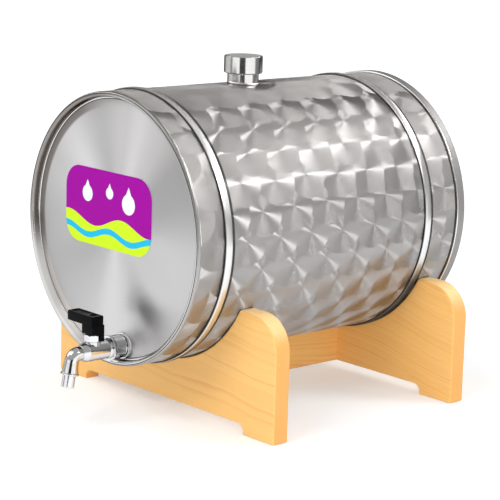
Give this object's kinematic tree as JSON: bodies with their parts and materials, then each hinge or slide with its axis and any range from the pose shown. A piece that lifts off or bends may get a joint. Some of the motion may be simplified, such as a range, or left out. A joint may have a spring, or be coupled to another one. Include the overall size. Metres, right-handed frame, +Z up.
{
  "type": "drink dispenser barrel",
  "caption": "Lying stainless steel drink barrel with engine-turned shell, screw-capped filler and lever tap, resting in a pine cradle stand.",
  "frame": {"origin": "middle of the bounding box at floor level", "axes": "+Z up; +Y along the barrel away from the tap; +X to the right of someone facing the tap"},
  "size_m": [0.377, 0.466, 0.3847],
  "materials": {
    "pine": "oiled solid pine",
    "beech": "plain beech dowel",
    "turned_steel": "engine-turned stainless sheet",
    "disc_steel": "bright rolled stainless sheet",
    "polished_steel": "polished stainless steel",
    "tap_chrome": "bright chrome plate",
    "lever_plastic": "black moulded plastic",
    "silicone": "food-grade silicone",
    "seat_plastic": "white low-friction plastic",
    "label_print": "glossy printed vinyl"
  },
  "bodies": {
    "stand": {"front_cradle": "pine", "rear_cradle": "pine", "stretcher": "pine", "stretcher_dowels": "beech"},
    "barrel": {"barrel_shell": "turned_steel", "front_head": "disc_steel", "rear_head": "disc_steel", "front_label": "label_print", "filler_neck": "polished_steel", "neck_weld": "polished_steel", "tap_outer_seal": "silicone", "tap_inner_seal": "silicone", "tap_lock_nut": "polished_steel", "tap_flange": "tap_chrome", "tap_collar": "tap_chrome", "tap_body": "tap_chrome", "inlet_ball_seat": "seat_plastic", "outlet_ball_seat": "seat_plastic", "tap_spout": "tap_chrome", "tap_nozzle": "tap_chrome", "stem_packing": "seat_plastic", "gland_nut": "tap_chrome"},
    "lever": {"tap_ball": "tap_chrome", "tap_stem": "polished_steel", "tap_handle": "lever_plastic", "handle_screw": "polished_steel"},
    "cap_seal": {"cap_gasket": "silicone"},
    "cap": {"filler_cap": "polished_steel"}
  },
  "joints": [
    {"name": "barrel_lift", "type": "slide", "parent": "stand", "child": "barrel", "axis": [0, 0, 1], "range_m": [0, 0.12]},
    {"name": "tap_lever", "type": "hinge", "parent": "barrel", "child": "lever", "pos_m": [0.015, -0.19295, 0.0817], "axis": [0, 0, 1], "range_deg": [0, 90]},
    {"name": "cap_lift", "type": "slide", "parent": "barrel", "child": "cap_seal", "axis": [0, 0, 1], "range_m": [0, 0.01385]},
    {"name": "cap_turn", "type": "hinge", "parent": "cap_seal", "child": "cap", "pos_m": [0, 0.02205, 0.3745], "axis": [0, 0, 1], "range_deg": [0, 2160]}
  ],
  "couplings": [
    {"joint": "cap_lift", "follows": "cap_turn", "m_per_rad": 0.00036749}
  ]
}
